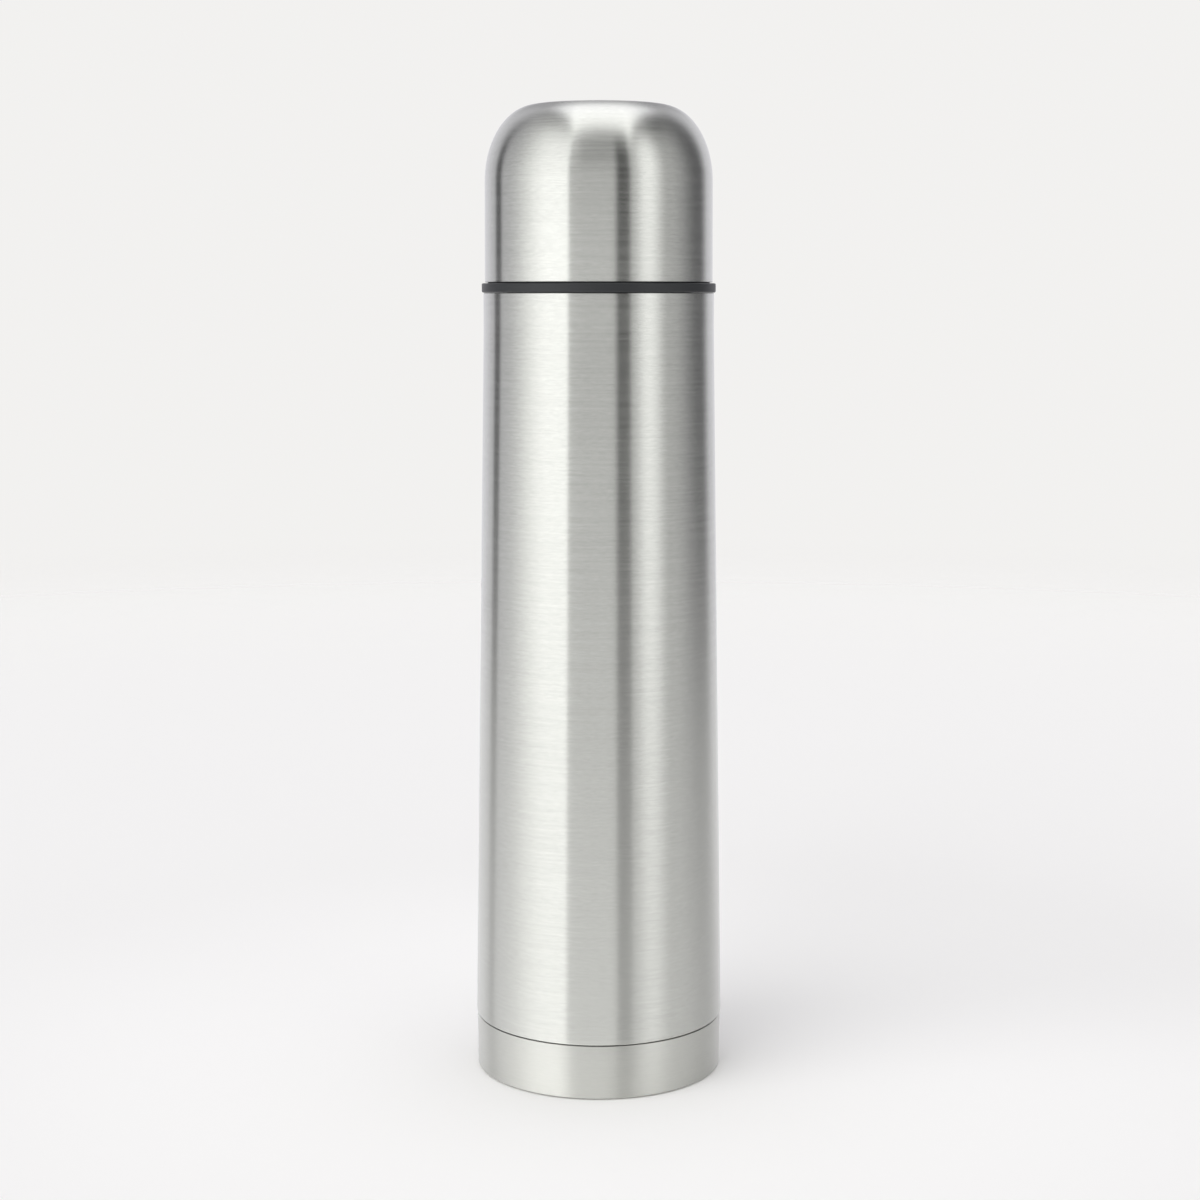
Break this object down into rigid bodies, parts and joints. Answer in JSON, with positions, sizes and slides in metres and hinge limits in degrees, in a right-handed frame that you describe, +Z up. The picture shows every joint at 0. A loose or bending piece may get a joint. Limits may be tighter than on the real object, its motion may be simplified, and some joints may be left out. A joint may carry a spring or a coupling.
{
  "type": "vacuum flask",
  "caption": "Tall stainless steel vacuum flask with a screw-on double-walled cup and a push-button pouring stopper.",
  "frame": {"origin": "on the flask's axis, at the level of the surface that it stands on", "axes": "+Z up along the flask's axis, from the foot to the cup's dome"},
  "size_m": [0.0826, 0.0826, 0.3185],
  "materials": {
    "brushed_steel": "brushed round the axis",
    "satin_steel": "satin, electropolished",
    "copper": "rolled foil",
    "black_plastic": "moulded, fine texture",
    "grey_plastic": "moulded, satin",
    "silicone": "matt, translucent",
    "foam": "closed-cell beads",
    "glass_bead": "fused",
    "getter_metal": "pressed powder"
  },
  "bodies": {
    "flask": {"outer_shell": "brushed_steel", "inner_vessel": "satin_steel", "vessel_bottom": "satin_steel", "copper_foil": "copper", "outer_bottom": "satin_steel", "vacuum_seal": "glass_bead", "getter": "getter_metal", "getter_clip": "satin_steel", "base_cup": "brushed_steel"},
    "stopper_seat": {"stopper_gasket": "silicone"},
    "stopper_core": {"core_foam": "foam"},
    "stopper": {"stopper_body": "black_plastic", "stopper_cover": "black_plastic", "core_case": "grey_plastic", "core_lid": "grey_plastic", "stem_seal": "silicone", "valve_seat": "black_plastic", "button_spring": "satin_steel"},
    "button": {"push_button": "grey_plastic", "valve_stem": "satin_steel", "valve_disc": "grey_plastic", "valve_seal": "silicone", "valve_clip": "satin_steel"},
    "cup_seat": {"cup_gasket": "silicone"},
    "cup_core": {"liner_seal": "silicone"},
    "cup": {"cup_liner": "satin_steel", "cup_shell": "brushed_steel", "cup_rim_ring": "black_plastic"}
  },
  "joints": [
    {"name": "stopper_lift", "type": "slide", "parent": "flask", "child": "stopper_seat", "axis": [0, 0, 1], "range_m": [0, 0.075]},
    {"name": "stopper_rise", "type": "slide", "parent": "stopper_seat", "child": "stopper_core", "axis": [0, 0, 1], "range_m": [0, 0.008]},
    {"name": "stopper_turn", "type": "hinge", "parent": "stopper_core", "child": "stopper", "pos_m": [0, 0, 0.265], "axis": [0, 0, 1], "range_deg": [0, 720]},
    {"name": "button_press", "type": "slide", "parent": "stopper", "child": "button", "axis": [0, 0, -1], "range_m": [0, 0.003], "stiffness_N_per_m": 1500, "springref_m": -0.0027, "deforming": ["button_spring"]},
    {"name": "cup_lift", "type": "slide", "parent": "stopper_seat", "child": "cup_seat", "axis": [0, 0, 1], "range_m": [0, 0.12]},
    {"name": "cup_rise", "type": "slide", "parent": "cup_seat", "child": "cup_core", "axis": [0, 0, 1], "range_m": [0, 0.006]},
    {"name": "cup_turn", "type": "hinge", "parent": "cup_core", "child": "cup", "pos_m": [0, 0, 0.265], "axis": [0, 0, 1], "range_deg": [0, 540]}
  ],
  "couplings": [
    {"joint": "stopper_turn", "follows": "stopper_rise", "rad_per_m": 1570.8},
    {"joint": "cup_turn", "follows": "cup_rise", "rad_per_m": 1570.8}
  ]
}
